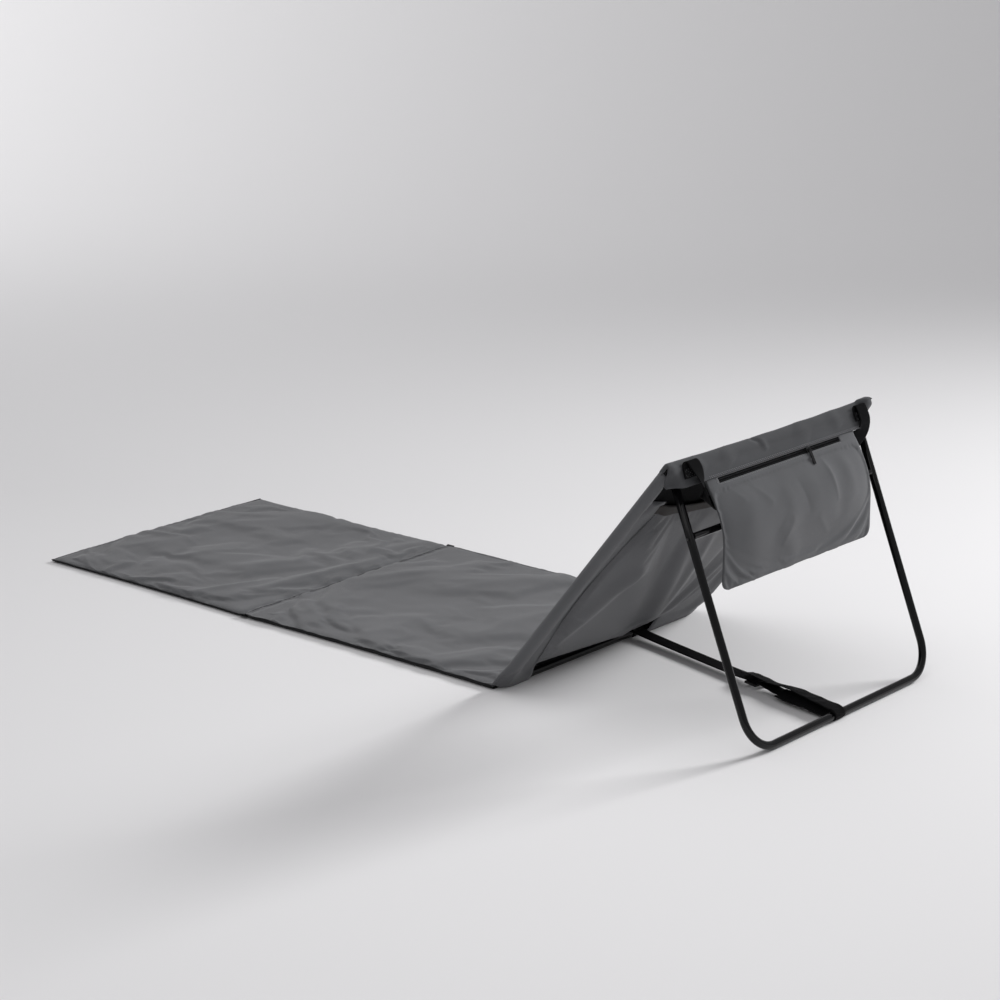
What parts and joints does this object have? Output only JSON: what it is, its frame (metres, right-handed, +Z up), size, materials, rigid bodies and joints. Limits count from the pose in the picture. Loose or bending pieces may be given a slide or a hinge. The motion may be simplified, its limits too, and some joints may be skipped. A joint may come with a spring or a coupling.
{
  "type": "folding beach lounger",
  "caption": "Low folding beach lounger: padded mat in two panels, sleeved backrest on a tube frame, hinged leg frame, zipped back pocket and adjusting strap.",
  "frame": {"origin": "on the floor under the middle of the lounger as it stands open", "axes": "+X across the mat, +Y from the foot end to the legs, +Z up"},
  "size_m": [0.5, 1.4562, 0.4004],
  "materials": {
    "grey_cloth": "woven grey polyester, matt",
    "black_cloth": "black woven base cloth, matt",
    "binding": "brown-grey edge binding",
    "foam": "thin open-cell foam",
    "black_tube": "gloss black powder coat",
    "steel": "zinc plate",
    "black_plastic": "moulded, satin",
    "webbing": "black woven webbing",
    "zip_metal": "dark painted zip metal"
  },
  "bodies": {
    "seat": {"seat_top_cloth": "grey_cloth", "seat_foam": "foam", "seat_base_cloth": "black_cloth"},
    "foot": {"foot_top_cloth": "grey_cloth", "foot_foam": "foam", "foot_base_cloth": "black_cloth"},
    "backrest": {"backrest_frame_tube": "black_tube", "backrest_end_plug_left": "black_plastic", "backrest_end_plug_right": "black_plastic", "pivot_rivet_left": "steel", "pivot_rivet_right": "steel", "pivot_washer_left": "black_plastic", "pivot_washer_right": "black_plastic", "side_sleeve_left": "grey_cloth", "side_sleeve_right": "grey_cloth", "backrest_front_cloth": "grey_cloth", "backrest_foam": "foam", "back_cloth": "grey_cloth", "back_cloth_binding": "binding", "top_flap": "grey_cloth", "carry_strap": "webbing", "carry_strap_patch_left": "webbing", "carry_strap_patch_right": "webbing", "strap_backrest_loop": "webbing", "strap_web_front": "webbing", "strap_web_rear": "webbing", "strap_tail": "webbing", "ladder_buckle": "black_plastic"},
    "leg_frame": {"leg_frame_tube": "black_tube", "leg_crossbar": "black_tube", "crossbar_screw_left": "steel", "crossbar_screw_right": "steel", "leg_end_plug_left": "black_plastic", "leg_end_plug_right": "black_plastic", "strap_leg_loop": "webbing"},
    "pocket": {"pocket_inner_panel": "grey_cloth", "pocket_outer_panel": "grey_cloth", "zip_tape_upper": "webbing", "zip_tape_lower": "webbing", "zip_coil": "black_plastic"},
    "zip_slider": {"zip_slider": "zip_metal"},
    "zip_pull": {"zip_pull": "zip_metal"}
  },
  "joints": [
    {"name": "foot_fold", "type": "hinge", "parent": "seat", "child": "foot", "pos_m": [0, -0.26211, 0.0108], "axis": [-1, 0, 0], "range_deg": [0, 180]},
    {"name": "backrest_fold", "type": "hinge", "parent": "seat", "child": "backrest", "pos_m": [0, 0.26289, 0.012], "axis": [1, 0, 0], "range_deg": [0, 116]},
    {"name": "leg_fold", "type": "hinge", "parent": "backrest", "child": "leg_frame", "pos_m": [0, 0.5707, 0.38452], "axis": [1, 0, 0], "range_deg": [-52, 0], "deforming": ["strap_web_front", "strap_web_rear", "strap_tail"]},
    {"name": "pocket_lift", "type": "hinge", "parent": "backrest", "child": "pocket", "pos_m": [0, 0.58967, 0.36843], "axis": [1, 0, 0], "range_deg": [0, 80]},
    {"name": "zip_slide", "type": "slide", "parent": "pocket", "child": "zip_slider", "axis": [1, 0, 0], "range_m": [-0.075, 0.21]},
    {"name": "pull_turn", "type": "hinge", "parent": "zip_slider", "child": "zip_pull", "pos_m": [-0.06795, 0.59977, 0.36303], "axis": [1, 0, 0], "range_deg": [0, 95]}
  ]
}
